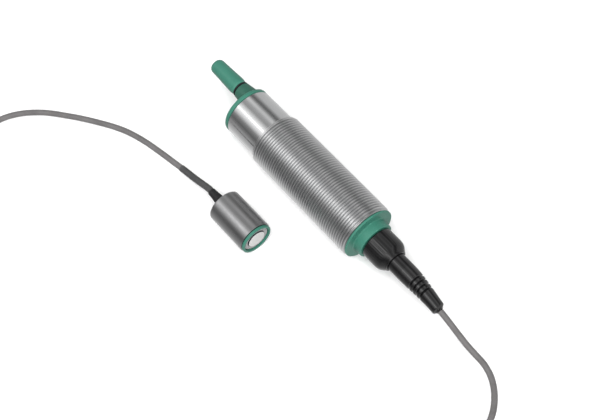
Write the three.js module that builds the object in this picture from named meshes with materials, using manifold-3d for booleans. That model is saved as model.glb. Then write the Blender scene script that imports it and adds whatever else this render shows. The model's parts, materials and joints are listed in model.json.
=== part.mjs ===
// Ultrasonic distance sensor: a threaded evaluation unit, and the sensing head on its cable.
// Millimetres, +Z up. Both lie on the floor, z = 0. The unit's axis runs along X, its cable end
// to +X; before the last step, x = 0 is the rear end of its metal barrel and y = 0 its axis.
import * as THREE from 'three';
import { mergeVertices } from 'three/addons/utils/BufferGeometryUtils.js';
import Module from 'manifold-3d';

const wasm = await Module();
wasm.setup();

// ---- Fits ----
const gap = 0.3;               // between two pieces that touch or seat on each other
const slotPlay = 0.25;         // between the circuit board and the slots that hold it

// ---- Evaluation unit: barrel and its two end pieces ----
const threadDiameter = 30;     // M30 x 1.5, over the crests
const threadLength = 71;
const threadChamfer = 0.9;
const smoothDiameter = 27.1;
const smoothLength = 21;
const barrelWall = 1.35;       // at the smooth section
const capThickness = 2.4;
const capEdge = 0.9;
const spigotLength = 7;
const sealSection = 1;
const sealOffset = 2.2;        // from a spigot's shoulder to the middle of its O-ring
const flangeDiameter = 29.2;
const flangeThickness = 1.1;
const collarDiameter = 20;
const collarLength = 5.1;

// ---- Rear: device connector, program plug, light guides ----
const deviceDiameter = 12;     // M12 x 1
const deviceReach = 5.7;       // from the cap's seat to the rear of the thread
const deviceBore = 9.4;
const deviceStem = 7.6;          // what passes through the cap
const devicePinDiameter = 1;
const devicePinCircle = 4.6;
const devicePinCount = 5;      // one in the middle, the others on the circle
const deviceBearing = -1.69;   // radians from +Y, seen from the program plug
const plugOffset = [3.67, 5.49];
const plugLength = 20.2;
const plugTipDiameter = 8.4;
const plugBaseDiameter = 9.4;
const plugSealWidth = 0.9;
const plugSocketReach = 7.3;
const plugSocketBase = 11.6;   // at the cap; it narrows to the plug's own diameter
const plugSocketStem = 7.5;    // what passes through the cap
const plugNoseDiameter = 5.8;
const plugNoseLength = 8.6;
const plugPinDiameter = 0.9;
const plugPinLength = 3;
const plugPinCircle = 3.2;
const plugPinCount = 4;
const lightGuideDiameter = 2.4;
const lightGuideOffset = 9.3;

// ---- Inside the barrel ----
const boardInset = 1.7;        // from the bore to each long edge of the board
const boardThickness = 1.6;
const boardFrontRoom = 3;      // from the board's front end to the front spigot
const holderThickness = 3;
const holderInset = 4;         // from a board's end to its holder
const holderBridge = 0.65;     // of a holder, between the board's slot and the window
const windowSize = [8, 7];
const capacitorLength = 14;
const capacitorDiameter = 8;

// ---- Cable connector at the front ----
const headSocketDiameter = 14;
const nippleDiameter = 12;
const nippleLength = 7.4;
const insertDiameter = 8.2;
const headPinDiameter = 1;
const headPinCircle = 3.6;
const headPinCount = 3;
const ringDiameter = 17.6;
const ringGrip = 11;
const ringShoulder = 3;
const neckDiameter = 10.2;
const neckEnd = 21;            // from the coupling ring's rear face
const bootLength = 24.2;
const bootDroop = [0, -0.44, -2.8];

// ---- Sensing head ----
const headDiameter = 18;
const headLength = 24.8;
const headWall = 1;
const headEdge = 1;
const headFloor = 1.6;
const bezelDiameter = 17.2;
const bezelReach = 1.5;
const foamRecess = 0.9;         // below the bezel's rim
const transducerDiameter = 9.6;
const transducerDepth = 3.4;
const piezoThickness = 1.3;
const grommetReach = 9.8;
const grommetBase = 6.4;
const grommetTip = 3.9;
const headPlace = [57.2, -41.4];   // front end of the head's metal tube
const headTurn = 0.009;            // radians from the unit's axis

// ---- Cable ----
const cableDiameter = 3;
const sleeveDiameter = 3.5;
const coilCentre = [-33, -166];
const coilTurnRadius = [9.6, 22.6];    // innermost and outermost turn
const coilHeight = 6.2;
const tieThickness = 0.9;
const tieWidth = 6;
const tieTurn = Math.PI / 4;           // where on the coil the tie sits

// The cable from the connector's bend relief to the coil, and from the coil to the head.
const connectorRun = [
  [151, -0.5, 10.5], [157, -0.2, 7.6], [163, 0.3, 4.4], [169, 0.9, 2.2], [175, 0.8, 1.55],
  [182, -1.5, 1.55], [189, -6.5, 1.55], [195, -14, 1.55], [199, -25, 1.55], [198, -36, 1.55],
  [193, -46, 1.55], [184, -57, 1.55], [172, -70, 1.55], [156, -89, 1.55], [139, -109, 1.55],
  [122, -129, 1.55], [105, -149, 1.55], [88, -169, 1.55], [73, -184, 1.55], [57, -194, 1.55],
  [39, -198, 1.55], [19, -196, 1.55], [0, -191, 1.55], [-18.6, -187.9, 1.8],
];
const headRun = [
  [-55.7, -152.4, 4], [-57, -143, 1.8], [-62, -133.5, 1.55], [-71.5, -126, 1.55],
  [-81.5, -118, 1.55], [-87.5, -106.5, 1.55], [-86.5, -93, 1.55], [-79, -80, 1.55],
  [-67, -69, 1.55], [-54, -59.5, 1.55], [-41.2, -51.9, 1.55], [-29, -47.6, 1.55],
  [-14.8, -44.6, 1.55], [-8, -43.5, 1.7],
];
// The sleeve's route, up to the head's axis: the last two points are given below that axis.
const sleeveRun = [
  [-2, -42.6, 2.2], [4, -42.1, 3.1], [10, -41.9, 4.9],
  [16, -41.7, headDiameter / 2 - 1.8], [20, -41.6, headDiameter / 2 - 0.4],
];

// ---- Values worked out from those above ----
const barrelLength = smoothLength + threadLength;
const axisHeight = threadDiameter / 2;
const boreRadius = smoothDiameter / 2 - barrelWall;
const spigotRadius = boreRadius - gap;
const grooveRadius = boreRadius - gap - sealSection;
const capFront = -gap;
const capRear = capFront - capThickness;
const flangeRear = barrelLength + gap;
const flangeFront = flangeRear + flangeThickness;
const collarFront = flangeFront + collarLength;
const plugSocketEnd = capRear - gap - plugSocketReach;
const plugSealFront = plugSocketEnd - gap;
const plugSealRear = plugSealFront - plugSealWidth;
const plugBase = plugSealRear - gap;
const plugTip = plugBase - plugLength;
const rearSpacing = (deviceDiameter + plugSocketBase) / 2 + gap;
const deviceOffset = [
  plugOffset[0] + rearSpacing * Math.cos(deviceBearing),
  plugOffset[1] + rearSpacing * Math.sin(deviceBearing),
];
const boardRear = spigotLength + gap;
const boardWidth = 2 * (boreRadius - boardInset);
const boardLength = barrelLength - spigotLength - boardFrontRoom - boardRear;
const ringRear = collarFront + gap;
const neckRear = ringRear + neckEnd;
const bootRear = neckRear + gap;
const bootTip = bootRear + bootLength;
const headRadius = headDiameter / 2;
const headBore = headRadius - headWall;

// ---- Materials ----
function finish(color, roughness, metalness) {
  return () => new THREE.MeshStandardMaterial({ color, roughness, metalness });
}
const steel = finish(0xc9ccd0, 0.25, 1);
const green = finish(0x4c9882, 0.4, 0);
const darkGreen = finish(0x3e7d69, 0.45, 0);
const black = finish(0x1e1e20, 0.5, 0);
const rubber = finish(0x232325, 0.8, 0);
const cableGrey = finish(0x646262, 0.6, 0);
const sleeveGrey = finish(0x4b4b4b, 0.7, 0);
const gold = finish(0xd8b25a, 0.3, 1);
const board = finish(0x2f6b3c, 0.6, 0);
const moulded = finish(0x2a2a2c, 0.6, 0);
const clear = finish(0xd9d0a0, 0.2, 0);
const white = finish(0xe9e9e4, 0.6, 0);
const foam = finish(0x55585a, 0.9, 0);
const ceramic = finish(0xd8cfb8, 0.5, 0);
const potting = finish(0x30343a, 0.7, 0);
const aluminium = finish(0xb7babd, 0.4, 1);

// ---- Geometry helpers ----
// Six times a mesh's volume is the sum of its triangles' triple products, so the sign of that
// sum says whether its faces point out.
function facingOut(geometry) {
  const shape = geometry.index ? geometry.toNonIndexed() : geometry;
  shape.deleteAttribute('normal');
  shape.deleteAttribute('uv');
  const merged = mergeVertices(shape, 1e-4);
  const place = merged.attributes.position;
  const old = merged.index.array;
  const kept = [];
  const a = new THREE.Vector3();
  const b = new THREE.Vector3();
  const c = new THREE.Vector3();
  let sum = 0;
  for (let i = 0; i < old.length; i += 3) {
    const [p, q, r] = [old[i], old[i + 1], old[i + 2]];
    if (p === q || q === r || r === p) continue;
    a.fromBufferAttribute(place, p);
    b.fromBufferAttribute(place, q);
    c.fromBufferAttribute(place, r);
    sum += a.dot(b.cross(c));
    kept.push(p, q, r);
  }
  if (sum < 0) {
    for (let i = 0; i < kept.length; i += 3) [kept[i], kept[i + 1]] = [kept[i + 1], kept[i]];
  }
  merged.setIndex(kept);
  return merged;
}

function solidOf(geometry) {
  const shape = facingOut(geometry);
  return new wasm.Manifold(new wasm.Mesh({
    numProp: 3,
    vertProperties: new Float32Array(shape.attributes.position.array),
    triVerts: new Uint32Array(shape.index.array),
  }));
}

function geometryOf(solid) {
  const mesh = solid.getMesh();
  const geometry = new THREE.BufferGeometry();
  geometry.setAttribute('position', new THREE.BufferAttribute(mesh.vertProperties, 3));
  geometry.setIndex(new THREE.BufferAttribute(mesh.triVerts, 1));
  return geometry;
}

function cut(body, ...tools) {
  return geometryOf(tools.reduce((left, tool) => left.subtract(solidOf(tool)), solidOf(body)));
}

function join(first, ...others) {
  return geometryOf(others.reduce((sum, part) => sum.add(solidOf(part)), solidOf(first)));
}

// A profile of [x, radius] points turned about the X axis. An open profile starts and ends on
// the axis; a closed one is a ring.
function turned(profile, sides = 36, ring = false) {
  const points = profile.map(([x, radius]) => new THREE.Vector2(radius, x));
  if (ring) points.push(points[0].clone());
  return facingOut(new THREE.LatheGeometry(points, sides).rotateZ(-Math.PI / 2));
}

function disc(from, to, radius, sides = 36) {
  return turned([[from, 0], [from, radius], [to, radius], [to, 0]], sides);
}

function sleeve(from, to, inner, outer, sides = 36) {
  return turned([[from, inner], [from, outer], [to, outer], [to, inner]], sides, true);
}

function box(size, centre) {
  return new THREE.BoxGeometry(...size).translate(...centre);
}

// An O-ring of round section about the X axis.
function oRing(x, inner, section) {
  const points = [];
  for (let i = 0; i < 6; i += 1) {
    const angle = (i + 0.5) * Math.PI / 3;
    const reach = section / 2;
    points.push([x + reach * Math.cos(angle), inner + section / 2 + reach * Math.sin(angle)]);
  }
  return turned(points, 36, true);
}

// Places on a circle about the X axis, as [y, z], the first one straight up.
function around(count, circle) {
  return Array.from({ length: count }, (_, i) => {
    const angle = 2 * Math.PI * i / count;
    return [circle / 2 * Math.sin(angle), circle / 2 * Math.cos(angle)];
  });
}

function tubeAlong(points, diameter, steps) {
  const route = new THREE.CatmullRomCurve3(
    points.map((p) => new THREE.Vector3(...p)), false, 'centripetal',
  );
  const section = new THREE.Shape();
  for (let i = 0; i < 8; i += 1) {
    const angle = (i + 0.5) * Math.PI / 4;
    const [x, y] = [diameter / 2 * Math.cos(angle), diameter / 2 * Math.sin(angle)];
    if (i === 0) section.moveTo(x, y);
    else section.lineTo(x, y);
  }
  return facingOut(new THREE.ExtrudeGeometry(section, { steps, extrudePath: route }));
}

// The bend relief and the cable in it hang lower towards their end, as a bent beam does.
function drooped(geometry) {
  const place = geometry.attributes.position;
  for (let i = 0; i < place.count; i += 1) {
    const share = Math.max(0, (place.getX(i) - bootRear) / bootLength) ** 2;
    place.setY(i, place.getY(i) + share * bootDroop[1]);
    place.setZ(i, place.getZ(i) + share * bootDroop[2]);
  }
  return geometry;
}

// ---- Object tree ----
const object = new THREE.Group();
const unit = new THREE.Group();
unit.position.z = axisHeight;
const head = new THREE.Group();
head.position.set(headPlace[0], headPlace[1], headRadius);
head.rotation.z = headTurn;
const cable = new THREE.Group();
object.add(unit, head, cable);

function add(group, name, geometry, material, at = [0, 0, 0]) {
  const mesh = new THREE.Mesh(geometry, material());
  mesh.name = name;
  mesh.position.set(...at);
  group.add(mesh);
}

// ---- Barrel, rear cap and front flange ----
function addBarrel() {
  const thread = threadDiameter / 2;
  const smooth = smoothDiameter / 2;
  add(unit, 'barrel_tube', turned([
    [0, boreRadius],
    [0, smooth],
    [smoothLength, smooth],
    [smoothLength, thread - threadChamfer],
    [smoothLength + threadChamfer, thread],
    [barrelLength - threadChamfer, thread],
    [barrelLength, thread - threadChamfer],
    [barrelLength, boreRadius],
  ], 48, true), steel);
}

function grooved(shoulder, towards) {
  const middle = shoulder + towards * sealOffset;
  const half = sealSection / 2 + gap / 2;
  const end = shoulder + towards * (spigotLength + gap);
  return [
    [shoulder, spigotRadius],
    [middle - towards * half, spigotRadius],
    [middle - towards * half, grooveRadius],
    [middle + towards * half, grooveRadius],
    [middle + towards * half, spigotRadius],
    [end, spigotRadius],
    [end, 0],
  ];
}

function addSeal(name, shoulder, towards) {
  const x = shoulder + towards * sealOffset;
  add(unit, name, oRing(x, grooveRadius + gap / 2, sealSection), rubber);
}

function addRearCap() {
  const radius = smoothDiameter / 2;
  const body = turned([
    [capRear, 0],
    [capRear, radius - capEdge],
    [capRear + capEdge * 0.3, radius - capEdge * 0.3],
    [capRear + capEdge, radius],
    [capFront, radius],
    ...grooved(capFront, 1),
  ]);
  const through = [capRear - 1, spigotLength + 1];
  const holes = [
    disc(...through, deviceStem / 2 + gap, 32).translate(0, ...deviceOffset),
    disc(...through, plugSocketStem / 2 + gap, 32).translate(0, ...plugOffset),
  ];
  for (const side of [-1, 1]) {
    const guide = disc(...through, lightGuideDiameter / 2 + gap / 2, 16);
    holes.push(guide.translate(0, side * lightGuideOffset, 0));
  }
  add(unit, 'rear_cap', cut(body, ...holes), green);
  addSeal('rear_cap_seal', capFront, 1);
}

function addFrontFlange() {
  const hole = headSocketDiameter / 2 + gap;
  const body = turned([
    [collarFront, 0],
    [collarFront, collarDiameter / 2],
    [flangeFront, collarDiameter / 2],
    [flangeFront, flangeDiameter / 2],
    [flangeRear, flangeDiameter / 2],
    ...grooved(flangeRear, -1),
  ]);
  const bore = disc(barrelLength - spigotLength - 1, collarFront + 1, hole);
  add(unit, 'front_flange', cut(body, bore), green);
  addSeal('front_flange_seal', flangeRear, -1);
}

// ---- Rear fittings ----
function addDeviceConnector() {
  const at = [0, ...deviceOffset];
  const outer = deviceDiameter / 2;
  const stem = deviceStem / 2;
  const seat = capRear - gap;
  const rear = seat - deviceReach;
  const floor = seat - 0.9;
  const face = floor - gap - 1.6;
  add(unit, 'm12_shell', turned([
    [rear, deviceBore / 2],
    [rear, outer - 0.5],
    [rear + 0.5, outer],
    [seat, outer],
    [seat, stem],
    [spigotLength, stem],
    [spigotLength, stem - 0.5],
    [floor, stem - 0.5],
    [floor, deviceBore / 2],
  ], 24, true), steel, at);
  const seats = [[0, 0], ...around(devicePinCount - 1, devicePinCircle)];
  const holes = seats.map(([y, z]) => (
    disc(face - 1, spigotLength + 1, devicePinDiameter / 2 + gap / 2, 8).translate(0, y, z)
  ));
  const insert = turned([
    [face, 0],
    [face, deviceBore / 2 - gap],
    [floor - gap, deviceBore / 2 - gap],
    [floor - gap, stem - 0.5 - gap],
    [spigotLength, stem - 0.5 - gap],
    [spigotLength, 0],
  ], 32);
  add(unit, 'm12_insert', cut(insert, ...holes), moulded, at);
  seats.forEach(([y, z], i) => {
    const pin = disc(rear + 1.2, spigotLength + 1.5, devicePinDiameter / 2, 8);
    add(unit, `m12_pin_${i + 1}`, pin, gold, [0, deviceOffset[0] + y, deviceOffset[1] + z]);
  });
}

function addPlugSocket() {
  const at = [0, ...plugOffset];
  const bore = plugNoseDiameter / 2 + gap;
  add(unit, 'plug_socket', turned([
    [plugSocketEnd, bore],
    [plugSocketEnd, plugBaseDiameter / 2],
    [plugSocketEnd + plugSocketReach * 0.45, (plugBaseDiameter * 0.8 + plugSocketBase * 0.2) / 2],
    [capRear - gap, plugSocketBase / 2],
    [capRear - gap, plugSocketStem / 2],
    [spigotLength, plugSocketStem / 2],
    [spigotLength, bore],
  ], 32, true), darkGreen, at);
  const front = plugBase + plugNoseLength + gap;
  const block = disc(front, spigotLength, bore - gap, 24);
  const holes = around(plugPinCount, plugPinCircle).map(([y, z]) => (
    disc(front - 1, front + plugPinLength + gap, plugPinDiameter / 2 + gap / 2, 8)
      .translate(0, y, z)
  ));
  add(unit, 'plug_socket_contacts', cut(block, ...holes), moulded, at);
}

function addProgramPlug() {
  const at = [0, ...plugOffset];
  const base = plugBaseDiameter / 2;
  const tip = plugTipDiameter / 2;
  const hollow = plugNoseDiameter / 2 - 0.6;
  const hollowEnd = plugBase - plugLength * 0.7;
  const round = [];
  for (let i = 0; i <= 4; i += 1) {
    const angle = i * Math.PI / 8;
    round.push([plugTip + tip * 0.55 * (1 - Math.sin(angle)), tip * Math.cos(angle)]);
  }
  round.reverse();
  add(unit, 'program_plug', turned([
    ...round.map(([x, radius], i) => [x, i === 0 ? 0 : radius]),
    [plugBase, base],
    [plugBase, hollow],
    [hollowEnd, hollow],
    [hollowEnd, 0],
  ], 32), green, at);
  const nose = plugNoseDiameter / 2;
  add(unit, 'plug_seal', sleeve(plugSealRear, plugSealFront, nose + gap, base, 32), rubber, at);
  const carrier = disc(plugBase + gap, plugBase + plugNoseLength, nose, 24);
  const stub = disc(plugBase - 2, plugBase + 1, hollow - gap, 24);
  const pins = around(plugPinCount, plugPinCircle).map(([y, z]) => (
    disc(plugBase + 1, plugBase + plugNoseLength + plugPinLength, plugPinDiameter / 2, 8)
      .translate(0, y, z)
  ));
  add(unit, 'plug_contacts', join(carrier, stub, ...pins), moulded, at);
  const bead = turned([[-2, 0], [-1.5, 1], [0, 1.4], [1.5, 1], [2, 0]], 16);
  add(unit, 'plug_thermistor', bead.translate(hollowEnd + 4, 0, 0), ceramic, at);
}

function addLightGuides() {
  for (const [name, side] of [['led_window_left', -1], ['led_window_right', 1]]) {
    const guide = disc(capRear, spigotLength, lightGuideDiameter / 2, 16);
    add(unit, name, guide, clear, [0, side * lightGuideOffset, 0]);
  }
}

// ---- Inside the barrel ----
function addElectronics() {
  const middle = boardRear + boardLength / 2;
  const top = boardThickness / 2 + gap;
  const size = [boardLength, boardWidth, boardThickness];
  add(unit, 'main_board', box(size, [middle, 0, 0]), board);
  for (const [name, x] of [
    ['board_holder_rear', boardRear + holderInset],
    ['board_holder_front', boardRear + boardLength - holderInset - holderThickness],
  ]) {
    const slot = box(
      [holderThickness + 2, boardWidth + 2 * slotPlay, boardThickness + 2 * slotPlay],
      [x + holderThickness / 2, 0, 0],
    );
    const window = box(
      [holderThickness + 2, windowSize[0], windowSize[1]],
      [x + holderThickness / 2, 0, top + slotPlay + holderBridge + windowSize[1] / 2],
    );
    const ring = disc(x, x + holderThickness, boreRadius - gap, 32);
    add(unit, name, cut(ring, slot, window), moulded);
  }
  // Boxes on the board: each one's place along it, its side of the board, and its size.
  for (const [name, x, side, [long, wide, high], material] of [
    ['driver_transformer', 20, 1, [13, 12, 8.5], moulded],
    ['signal_processor', -2, 1, [12, 12, 1.6], moulded],
    ['shield_can', 14, -1, [18, 15, 5], aluminium],
    ['relay_driver', -18, -1, [9, 9, 3], moulded],
  ]) {
    const body = box([long, wide, high], [middle + x, 0, side * (top + high / 2)]);
    add(unit, name, body, material);
  }
  const can = disc(-capacitorLength / 2, capacitorLength / 2, capacitorDiameter / 2, 24);
  add(unit, 'buffer_capacitor', can, aluminium, [middle - 20, 0, top + capacitorDiameter / 2]);
}

// ---- Cable connector ----
function addHeadSocket() {
  const inner = insertDiameter / 2 + gap;
  const back = barrelLength - spigotLength;
  const nippleEnd = collarFront + nippleLength;
  const seats = around(headPinCount, headPinCircle);
  const body = turned([
    [back, 0],
    [back, headSocketDiameter / 2],
    [collarFront, headSocketDiameter / 2],
    [collarFront, nippleDiameter / 2],
    [nippleEnd, nippleDiameter / 2],
    [nippleEnd, inner],
    [collarFront, inner],
    [collarFront, 0],
  ], 24);
  const holes = seats.map(([y, z]) => (
    disc(back - 1, collarFront + 1, headPinDiameter / 2 + gap / 2, 8).translate(0, y, z)
  ));
  add(unit, 'head_socket', cut(body, ...holes), moulded);
  seats.forEach(([y, z], i) => {
    const pin = disc(back - 2, nippleEnd - 1.5, headPinDiameter / 2, 8);
    add(unit, `head_socket_pin_${i + 1}`, pin, gold, [0, y, z]);
  });
}

function addCableConnector() {
  const radius = ringDiameter / 2;
  const nippleEnd = collarFront + nippleLength;
  const grip = ringRear + ringGrip;
  const front = grip + ringShoulder;
  const stop = grip - 1.2;
  const neck = neckDiameter / 2;
  const overNipple = nippleDiameter / 2 + gap;
  add(unit, 'coupling_ring', turned([
    [ringRear, overNipple],
    [ringRear, radius - 0.3],
    [ringRear + 0.3, radius],
    [grip - 2, radius],
    [grip, radius - 0.5],
    [grip + ringShoulder * 0.5, radius - 1.6],
    [grip + ringShoulder * 0.8, radius - 2.4],
    [front, neck + 1.1],
    [front, neck + gap],
    [stop, neck + gap],
    [stop, overNipple],
  ], 36, true), black);
  const insertStart = collarFront + gap + 1;
  const flange = nippleEnd + gap;
  const boltEnd = neckRear - 8;
  const body = turned([
    [insertStart, 0],
    [insertStart, insertDiameter / 2],
    [flange, insertDiameter / 2],
    [flange, nippleDiameter / 2],
    [stop - gap, nippleDiameter / 2],
    [stop - gap, neck],
    [neckRear, neck],
    [neckRear, neck - 2.2],
    [boltEnd, neck - 2.2],
    [boltEnd, 0],
  ], 32);
  const holes = around(headPinCount, headPinCircle).map(([y, z]) => (
    disc(insertStart - 1, nippleEnd, headPinDiameter / 2 + gap / 2, 8).translate(0, y, z)
  ));
  add(unit, 'connector_body', cut(body, ...holes), black);
  const clampOuter = neck - 2.2 - gap;
  const hole = cableDiameter / 2 + gap;
  add(unit, 'cable_clamp', sleeve(boltEnd + 1.5, neckRear - 1, hole, clampOuter, 24), steel);
  const steps = 6;
  const inner = Array.from({ length: steps + 1 }, (_, i) => (
    [bootTip - bootLength * i / steps, hole]
  ));
  add(unit, 'bend_relief', drooped(turned([
    [bootRear, neck],
    [bootRear + 4.5, neck - 0.2],
    [bootRear + 8.5, neck - 0.9],
    [bootRear + 13, neck - 1.15],
    [bootRear + 17.5, neck - 1.3],
    [bootRear + 22.5, neck - 1.65],
    [bootTip - 1.2, hole + 1.1],
    [bootTip, hole + 0.35],
    ...inner,
  ], 24, true)), rubber);
  const inside = [];
  for (let i = 0; i <= steps; i += 1) {
    inside.push([bootRear + (bootLength - gap) * i / steps, cableDiameter / 2]);
  }
  add(unit, 'cable_in_connector', drooped(turned([
    [boltEnd + gap, 0],
    [boltEnd + gap, cableDiameter / 2],
    ...inside,
    [bootTip - gap, 0],
  ], 12)), cableGrey);
}

// ---- Sensing head: x = 0 is the front end of its metal tube ----
function addHead() {
  const rear = -headLength;
  const grommetHole = grommetBase / 2 + gap;
  add(head, 'head_tube', turned([
    [rear, grommetHole],
    [rear, headRadius - headEdge],
    [rear + headEdge * 0.3, headRadius - headEdge * 0.3],
    [rear + headEdge, headRadius],
    [-0.5, headRadius],
    [0, headRadius - 0.5],
    [0, headBore],
    [rear + headFloor, headBore],
    [rear + headFloor, grommetHole],
  ], 36, true), steel);
  const bezel = bezelDiameter / 2;
  const bezelInner = bezel - 1.2;
  add(head, 'head_bezel', turned([
    [bezelReach, bezelInner],
    [bezelReach, bezel - 0.3],
    [bezelReach - 0.3, bezel],
    [gap, bezel],
    [gap, headBore - gap],
    [-3, headBore - gap],
    [-3, bezelInner],
  ], 36, true), green);
  const face = transducerDiameter / 2;
  add(head, 'decoupling_ring',
    sleeve(-transducerDepth, bezelReach - foamRecess, face + gap, bezelInner - gap), foam);
  add(head, 'transducer_face', disc(-transducerDepth, bezelReach - 0.2, face, 32), white);
  const piezo = [-transducerDepth - gap - piezoThickness, -transducerDepth - gap];
  add(head, 'piezo_disc', disc(...piezo, face - 0.4, 32), ceramic);
  const fillRear = rear + headFloor + 3;
  add(head, 'head_potting', disc(fillRear, piezo[0] - gap, headBore - gap, 32), potting);
  const lip = rear + headFloor + gap;
  const hole = sleeveDiameter / 2 + gap;
  add(head, 'head_grommet', turned([
    [rear - grommetReach, hole],
    [rear - grommetReach, grommetTip / 2 + 0.5],
    [rear - gap, grommetBase / 2],
    [lip, grommetBase / 2],
    [lip, grommetBase / 2 + 1.2],
    [lip + 1.6, grommetBase / 2 + 1.2],
    [lip + 1.6, hole],
  ], 24, true), rubber);
}

// ---- Cable, its sleeve at the head, coil and tie ----
function addSleeve() {
  const headRear = new THREE.Vector3(-headLength, 0, 0)
    .applyAxisAngle(new THREE.Vector3(0, 0, 1), headTurn)
    .add(head.position);
  const intoHead = [-grommetReach - 0.5, 0, headFloor + 2].map((x) => (
    [headRear.x + x, headRear.y, headRear.z]
  ));
  add(cable, 'cable_sleeve', tubeAlong([...sleeveRun, ...intoHead], sleeveDiameter, 8),
    sleeveGrey);
}

function addCable() {
  const exit = [bootTip + gap, bootDroop[1], axisHeight + bootDroop[2]];
  const sleeveEnd = sleeveRun[0];
  const lastOfRun = [sleeveEnd[0] - 0.8, sleeveEnd[1] - 0.1, sleeveEnd[2] - 0.1];
  add(cable, 'cable_run_connector', tubeAlong([exit, ...connectorRun], cableDiameter, 48),
    cableGrey);
  add(cable, 'cable_run_head', tubeAlong([...headRun, lastOfRun], cableDiameter, 28), cableGrey);
  const inner = coilTurnRadius[0] - cableDiameter / 2;
  const outer = coilTurnRadius[1] + cableDiameter / 2;
  const low = tieThickness + gap;
  const ring = [[low, inner], [low, outer], [low + coilHeight, outer], [low + coilHeight, inner]];
  const coil = turned(ring, 48, true).rotateY(-Math.PI / 2);
  add(cable, 'cable_coil', coil, cableGrey, [...coilCentre, 0]);
  const inside = Math.sqrt(inner ** 2 - (tieWidth / 2) ** 2) - gap;
  const deep = outer + gap - inside;
  const high = coilHeight + 2 * gap;
  const loop = cut(
    box([deep + 2 * tieThickness, tieWidth, high + 2 * tieThickness], [0, 0, 0]),
    box([deep, tieWidth + 2, high], [0, 0, 0]),
  );
  loop.translate(inside + deep / 2, 0, tieThickness + high / 2);
  loop.rotateZ(tieTurn);
  add(cable, 'coil_tie', loop, rubber, [...coilCentre, 0]);
}

addBarrel();
addRearCap();
addFrontFlange();
addDeviceConnector();
addPlugSocket();
addProgramPlug();
addLightGuides();
addElectronics();
addHeadSocket();
addCableConnector();
addHead();
addSleeve();
addCable();

// ---- Origin: the middle of the unit and head, without the loose cable, on the floor ----
object.updateMatrixWorld(true);
const loose = ['cable_run_connector', 'cable_run_head', 'cable_coil', 'coil_tie'];
const extent = new THREE.Box3();
object.traverse((piece) => {
  if (piece.isMesh && !loose.includes(piece.name)) extent.expandByObject(piece, true);
});
const middle = extent.getCenter(new THREE.Vector3());
object.position.set(-middle.x, -middle.y, -extent.min.z);

export default object;
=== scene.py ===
"""Ultrasonic distance sensor: a threaded evaluation unit, and the sensing head on its cable.

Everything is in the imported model's frame, in metres. Profiles are written in millimetres, as
[x, radius] points about an axis along X, with x measured from the rear end of the metal barrel
(the unit) or from the front end of the metal tube (the head).
"""
import json
import math

import bmesh
import bpy
from mathutils import Matrix, Vector


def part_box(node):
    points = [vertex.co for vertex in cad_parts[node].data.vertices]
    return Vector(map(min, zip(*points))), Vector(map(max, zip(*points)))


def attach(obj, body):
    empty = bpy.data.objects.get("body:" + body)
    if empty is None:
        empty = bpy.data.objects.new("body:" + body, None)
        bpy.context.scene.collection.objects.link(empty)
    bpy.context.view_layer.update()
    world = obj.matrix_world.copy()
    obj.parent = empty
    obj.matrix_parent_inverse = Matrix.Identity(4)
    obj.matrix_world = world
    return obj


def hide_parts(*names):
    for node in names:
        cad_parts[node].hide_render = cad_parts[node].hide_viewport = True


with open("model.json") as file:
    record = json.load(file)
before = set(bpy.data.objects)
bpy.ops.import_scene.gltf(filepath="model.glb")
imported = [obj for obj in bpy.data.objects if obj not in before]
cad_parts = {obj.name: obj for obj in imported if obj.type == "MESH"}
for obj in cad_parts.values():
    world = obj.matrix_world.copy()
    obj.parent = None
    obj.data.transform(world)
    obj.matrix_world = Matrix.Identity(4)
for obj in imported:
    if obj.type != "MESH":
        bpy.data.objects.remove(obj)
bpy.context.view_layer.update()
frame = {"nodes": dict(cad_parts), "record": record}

MM = 0.001

# ---- Where things are, from the frame ----
barrel_low, barrel_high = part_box("barrel_tube")
UNIT_AXIS = Vector((
    barrel_low.x,
    (barrel_low.y + barrel_high.y) / 2,
    (barrel_low.z + barrel_high.z) / 2,
))
UNIT = Matrix.Translation(UNIT_AXIS)
FLOOR_ORIGIN = Vector((UNIT_AXIS.x, UNIT_AXIS.y, 0))


def span(node, axis=0):
    """A node's lowest and highest place along an axis, in millimetres from the unit's origin."""
    low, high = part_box(node)
    return (low[axis] - UNIT_AXIS[axis]) / MM, (high[axis] - UNIT_AXIS[axis]) / MM


def radius_of(node):
    low, high = span(node, 2)
    return (high - low) / 2


def middle_of(node):
    """A node's middle across the unit's axis, as y and z in millimetres."""
    return sum(span(node, 1)) / 2, sum(span(node, 2)) / 2


# ---- Sizes, in millimetres ----
GAP = 0.3                      # between two pieces that seat on each other
SHARP = 32                     # degrees between two faces that leave their edge sharp
# Barrel and rear cap
THREAD_PITCH = 1.5
THREAD_DEPTH = 0.9
SMOOTH_LENGTH = 21
BORE_RADIUS = 12.2
CAP_EDGE = 0.9
CAP_HOLLOW_WALL = 3.2          # from the cap's rim to the shallow hollow in its rear face
CAP_HOLLOW_DEPTH = 0.25
WINDOW_HOLE = 1.35             # radius
# Program plug and its socket
PLUG_TAPER = 0.5               # how much narrower the plug is at its tip, in radius
PLUG_BORE = 2.3                # radius
PLUG_BORE_START = 6            # from the plug's tip
SEAL_BORE = 3.2                # radius
SOCKET_BORE = 3.25             # radius
SOCKET_SPIGOT = 3.75           # radius of the part of the socket that goes through the cap
FLARE_STEPS = 12
FLARE_POWER = 1.1              # 1 is a straight cone, and more is hollow
# Device connector at the rear, and the pins of both connectors
DEVICE_PITCH = 1.0
DEVICE_DEPTH = 0.6             # of the thread
DEVICE_CUP = 4.7               # radius of the hollow round the pins
DEVICE_FLOOR = 0.9             # from that hollow's floor to the face that seats on the cap
DEVICE_FLANGE = 1.2            # length of the smooth flange that seats on the cap
DEVICE_BORE = 3.3              # radius
DEVICE_SPIGOT = 3.8            # radius of the part of the shell that goes through the cap
DEVICE_PINS = 5
HEAD_PINS = 3
# Front flange
FLANGE_THICKNESS = 1.1
COLLAR_RADIUS = 10
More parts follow.
